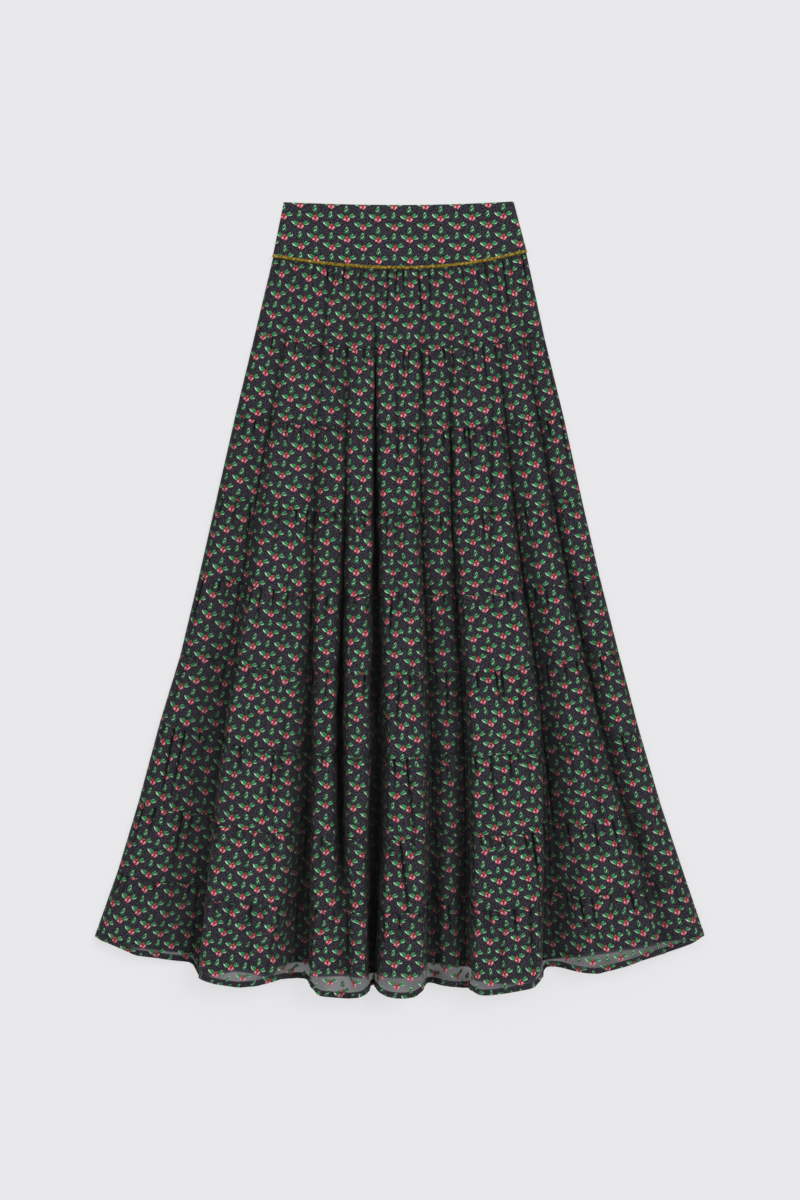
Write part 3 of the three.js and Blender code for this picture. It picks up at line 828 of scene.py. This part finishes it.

# Lesser creases, in millimetres: the upper and lower end of each, its half width and its
# height, which is negative for a trough
CREASES = [
    {"top": (115, 300), "foot": (112, -10), "wide": 2.0, "high": -3.5},
    {"top": (149, -100), "foot": (154, -185), "wide": 2.2, "high": -4.0},
    {"top": (-284, -205), "foot": (-297, -290), "wide": 2.5, "high": -3.5},
    {"top": (-277, -180), "foot": (-271, -262), "wide": 2.2, "high": -2.8},
    {"top": (-97, 420), "foot": (-112, 250), "wide": 1.8, "high": -2.5},
    {"top": (-60, 425), "foot": (-62, 330), "wide": 1.6, "high": -2.0},
    {"top": (78, 400), "foot": (84, 230), "wide": 1.8, "high": -2.2},
    {"top": (-8, 330), "foot": (-10, 190), "wide": 1.8, "high": -2.6},
    {"top": (-172, 190), "foot": (-186, 60), "wide": 3.0, "high": -2.4},
    {"top": (-176, 20), "foot": (-190, -150), "wide": 9, "high": 1.6},
    {"top": (-150, -120), "foot": (-168, -300), "wide": 4.0, "high": -3.0},
    {"top": (-214, -330), "foot": (-222, -500), "wide": 9, "high": 1.8},
    {"top": (-196, -380), "foot": (-200, -506), "wide": 2.4, "high": -2.4},
    {"top": (-66, -300), "foot": (-74, -506), "wide": 2.4, "high": -2.6},
    {"top": (128, -400), "foot": (124, -515), "wide": 2.0, "high": -2.8},
    {"top": (148, 20), "foot": (150, -140), "wide": 8, "high": 1.5},
    {"top": (236, -150), "foot": (262, -330), "wide": 4.0, "high": -3.2},
    {"top": (296, -260), "foot": (322, -440), "wide": 5, "high": -2.0},
    {"top": (-330, -330), "foot": (-352, -450), "wide": 5, "high": -1.8},
    {"top": (-300, -120), "foot": (-318, -230), "wide": 7, "high": 1.4},
    {"top": (-4, 150), "foot": (-8, -40), "wide": 3.0, "high": -2.6},
    {"top": (0, -220), "foot": (-4, -420), "wide": 9, "high": 1.4},
]


def through(values, position):
    """A smooth curve through evenly spaced values, read at a position from 0 to the last one's."""
    last = len(values) - 1
    i = min(max(math.floor(position), 0), last - 1)
    f = position - i
    start = (values[i + 1] - values[max(i - 1, 0)]) / 2
    end = (values[min(i + 2, last)] - values[i]) / 2
    return (
        (2 * f**3 - 3 * f**2 + 1) * values[i]
        + (f**3 - 2 * f**2 + f) * start
        + (3 * f**2 - 2 * f**3) * values[i + 1]
        + (f**3 - f**2) * end
    )


def rise(share):
    """A fold's wall from its foot, 0, to its shoulder, 1."""
    t = np.clip(share, 0, 1)
    return 0.5 * (t * t * (3 - 2 * t)) + 0.5 * (1 - (1 - t) ** 2)


def fold_lines(level):
    """The upper face across the front at a level: x and z of each fold."""
    station = (level - 1) / LEVELS_PER_STATION
    feet = [(at_level(SEAMS, "left_x", level), 0, SIDE_SHOULDER, SIDE_SHOULDER, 1)]
    for valley in VALLEYS:
        x, foot, left, right = (
            through(valley[key], station) * MM for key in ("x", "foot", "left_wall", "right_wall")
        )
        feet.append((x, foot, left, right, min(max(through(valley["depth"], station), 0), 1)))
    feet.append((at_level(SEAMS, "right_x", level), 0, SIDE_SHOULDER, SIDE_SHOULDER, 1))
    tops = [max(through(fold["height"], station) * MM, FRONT_REST) for fold in FOLDS]
    floors = []
    for i, foot in enumerate(feet):
        lower = min(tops[max(i - 1, 0)], tops[min(i, len(tops) - 1)])
        floors.append(lower + (FRONT_REST - lower) * foot[4])
    q = np.linspace(0, 1, FOLD_SAMPLES + 1)
    lines = []
    for i, top in enumerate(tops):
        (left_x, left_foot, _, right_wall, _), (right_x, right_foot, left_wall, _, _) = feet[i : i + 2]
        width = right_x - left_x
        from_left = (q * width - left_foot) / min(right_wall, WIDEST_WALL * width)
        from_right = ((1 - q) * width - right_foot) / min(left_wall, WIDEST_WALL * width)
        low = floors[i] + (floors[i + 1] - floors[i]) * q
        high = top * (1 + CROWN * 4 * q * (1 - q))
        lines.append((left_x + q * width, low + (high - low) * rise(from_left) * rise(from_right)))
    return lines


def arc(x, z):
    return np.concatenate([[0], np.cumsum(np.hypot(np.diff(x), np.diff(z)))])


def front_line(level, fold_columns):
    """The same, as one line of points, with a number of columns of even length along each fold."""
    xs, zs = [], []
    for i, (x, z) in enumerate(fold_lines(level)):
        along = arc(x, z)
        wanted = np.linspace(0, along[-1], fold_columns[i] + 1)[1 if i else 0 :]
        xs.append(np.interp(wanted, along, x))
        zs.append(np.interp(wanted, along, z))
    return np.concatenate(xs), np.concatenate(zs)


def valley_creases(x, level):
    """The sharp line in each valley's floor, from 0 to -1."""
    station = (level - 1) / LEVELS_PER_STATION
    relief = np.zeros(x.shape)
    for valley in VALLEYS:
        share = max(0, through(valley["crease"], station))
        away = np.abs(x - through(valley["x"], station) * MM)
        relief -= share * np.exp(-away / (1.6 * MM))
    return relief


def groove(away, size):
    """A shallow groove's depth at a distance from its line."""
    return size["deep"] * np.exp(-((away / size["wide"]) ** 2))


def crease_relief(grid):
    """The lesser creases' height at each point."""
    relief = np.zeros(grid.shape[:2])
    for crease in CREASES:
        (top_x, top_y), (foot_x, foot_y) = crease["top"], crease["foot"]
        share = (top_y * MM - grid[:, :, 1]) / ((top_y - foot_y) * MM)
        centre = (top_x + (foot_x - top_x) * np.clip(share, 0, 1)) * MM
        away = np.abs(grid[:, :, 0] - centre) / (crease["wide"] * MM)
        fade = np.sin(math.pi * np.clip(share, 0, 1)) ** 0.6
        shape = np.exp(-away) if crease["high"] < 0 else np.exp(-(away**2))
        relief += crease["high"] * MM * shape * fade
    return relief


even = np.linspace(0, 1, FRONT_ROWS + 1)
row_shares = even - NEAR_SEAMS * np.sin(math.tau * even) / math.tau
for tier in range(1, LAST):
    is_last = tier == LAST - 1
    top = -TIER_TUCK if tier == 1 else TUCK
    bottom = 0 if is_last else SEAM_GAP / 2
    column = (0.72 + 0.06 * tier) * MM
    fold_columns = [max(8, round(arc(x, z)[-1] / column)) for x, z in fold_lines(tier + 1)]
    base = np.zeros((FRONT_ROWS + 1, sum(fold_columns) + 1, 3))
    creased = np.zeros(base.shape[:2])
    for row, share in enumerate(row_shares):
        x, z = front_line(tier + share, fold_columns)
        y = height_up(SEAMS, x, z, tier + share) + top * (1 - share) + bottom * share
        base[row] = np.stack([x, y, z], axis=1)
        creased[row] = valley_creases(x, tier + share)
    if is_last:
        to_edge(base, FRONT_EDGE, row_shares)
    along = along_rows(base)
    down = down_columns(base)
    up = down[-1] - down
    from_side = np.minimum(along, along[:, -1:] - along)
    calm = np.clip(from_side / SIDE_CALM, 0, 1)
    spacing = (11 + 0.5 * tier) * MM
    edges = np.minimum(down, 60 * MM if is_last else up)
    relief = PUFF * (0.2 + 0.8 * (1 - np.exp(-edges / (2.5 * MM))))
    for row in FRONT_GATHERS[:2] if is_last else FRONT_GATHERS:
        reaches = [reach * MM for reach in row["reaches"]]
        creases = gathers(along, down if row["top"] else up, spacing * row["apart"],
                          column * row["wide"], reaches, row["draw"] + tier)
        relief += creases * (row["deep"] + row["deeper"] * tier) * MM
    unevenness = soft_noise(along, down * 0.3, 60 * MM, 140) * 1.3 * MM
    unevenness += soft_noise(along, down * 0.2, 20 * MM, 170 + tier) * 0.5 * MM
    relief += unevenness * (1 - np.exp(-edges / (8 * MM)))
    relief += crease_relief(base) + creased * VALLEY_CREASE
    relief -= groove(down, SEAM_GROOVE)
    relief -= groove(up - HEM_DEPTH, HEM_GROOVE) if is_last else groove(up, LOWER_GROOVE)
    hem_zone = np.clip((HEM_DEPTH - up) / (1 * MM) + 0.5, 0, 1) * is_last
    # a trough never goes through the cloth below it
    relief = np.maximum(relief * calm, FRONT_REST - 0.5 * MM - base[:, :, 2])
    relief -= (EDGE_FALL - 2 * HEM_EXTRA * hem_zone) * rolled(from_side)
    upper = base + facing(base) * relief[:, :, None]
    lower = upper - facing(base) * (CLOTH + HEM_EXTRA * hem_zone)[:, :, None]
    flat_width = along[-1, -1] * FULLNESS
    # painted shade: how much sky each point sees past the folds, lighter towards the hem's open end, darkens
    # the base colour
    seen = openness(upper)
    if is_last:
        seen += (1 - seen) * HEM_LIGHT * np.exp(-up / HEM_LIGHT_REACH)
    print_map = print_of(upper, flat_width, (PRINT_STEP[0] * tier, PRINT_STEP[1] * tier))
    print_map[:, :, 0] += soft_noise(along, down, 110 * MM, 40 + tier) * 2 * MM
    wander = soft_noise(along, down, 90 * MM, 60 + tier) * 1.6 * MM
    print_map[:, :, 1] = PRINT_STEP[1] * tier * MM - down + wander
    maps = {"print": print_map, "folds": np.stack([seen, seen], axis=2)}
    if is_last:
        back_edge = np.interp(base[:, :, 0], *(np.array(BACK_EDGE).T * MM))
        maps["hems"] = np.stack([base[:, :, 1] - back_edge, up], axis=2)
    material = hem_material if is_last else cloth_material
    piece = cloth_piece(f"tier_{tier}_front", upper, lower, maps, material)
    threads = [stitched("front", upper, up)] if is_last else []


# The setting: a pale plain surface, two wide soft lamps, the stronger from the upper right, and an even sky
SHADOW = 0.24  # how much of a shadow the surface takes; it is lit evenly from behind for the rest
floor_mesh = bpy.data.meshes.new("floor")
reach = 6.0
floor_mesh.from_pydata([(-reach, -reach, 0), (reach, -reach, 0), (reach, reach, 0), (-reach, reach, 0)],
                       [], [(0, 1, 2, 3)])
floor = bpy.data.objects.new("floor", floor_mesh)
floor.location.z = -0.2 * MM
bpy.context.scene.collection.objects.link(floor)
floor_material = bpy.data.materials.new("pale_surface")
floor_material.use_nodes = True
floor_shader = floor_material.node_tree.nodes["Principled BSDF"]
floor_colour = srgb(233, 233, 235)
floor_shader.inputs["Base Color"].default_value = [part * SHADOW for part in floor_colour[:3]] + [1]
floor_shader.inputs["Emission Color"].default_value = floor_colour
floor_shader.inputs["Emission Strength"].default_value = 1 - SHADOW
floor_shader.inputs["Roughness"].default_value = 0.9
floor_shader.inputs["Specular IOR Level"].default_value = 0.0
floor_mesh.materials.append(floor_material)

SKY_SHARE = 0.5  # of the light that falls on the surface; the two lamps give the rest
world = bpy.data.worlds.new("studio")
world.use_nodes = True
world.node_tree.nodes["Background"].inputs["Color"].default_value = (1.0, 1.0, 1.0, 1.0)
world.node_tree.nodes["Background"].inputs["Strength"].default_value = SKY_SHARE
bpy.context.scene.world = world

# Each lamp's share of the light, its height and its turn from due right, in degrees
LAMPS = [
    {"name": "main softbox", "share": 0.33, "height": 42, "turn": 30, "angle": 34},
    {"name": "fill softbox", "share": 0.17, "height": 45, "turn": 165, "angle": 40},
]
for lamp in LAMPS:
    height, turn = math.radians(lamp["height"]), math.radians(lamp["turn"])
    lamp_data = bpy.data.lights.new(lamp["name"], "SUN")
    lamp_data.angle = math.radians(lamp["angle"])
    lamp_data.energy = lamp["share"] * math.pi / math.sin(height)
    softbox = bpy.data.objects.new(lamp["name"], lamp_data)
    to_lamp = Vector((math.cos(height) * math.cos(turn), math.cos(height) * math.sin(turn), math.sin(height)))
    softbox.rotation_euler = to_lamp.to_track_quat("Z", "Y").to_euler()
    bpy.context.scene.collection.objects.link(softbox)

PIXEL = 1.3 * MM  # what one pixel of the photograph spans on the surface
PHOTO_HEIGHT = 1200
OFF_MIDDLE = 3.5 * PIXEL  # how far left of the seams' middle line the photograph's middle is
camera_data = bpy.data.cameras.new("camera")
camera_data.sensor_fit = "VERTICAL"
camera_data.sensor_height = 36
camera_data.lens = camera_data.sensor_height * CAMERA_HEIGHT / (PHOTO_HEIGHT * PIXEL)
camera = bpy.data.objects.new("camera", camera_data)
camera.location = (TO_ORIGIN[0] - OFF_MIDDLE, TO_ORIGIN[1], CAMERA_HEIGHT)
bpy.context.scene.collection.objects.link(camera)
bpy.context.scene.camera = camera
bpy.context.scene.view_settings.view_transform = "Standard"
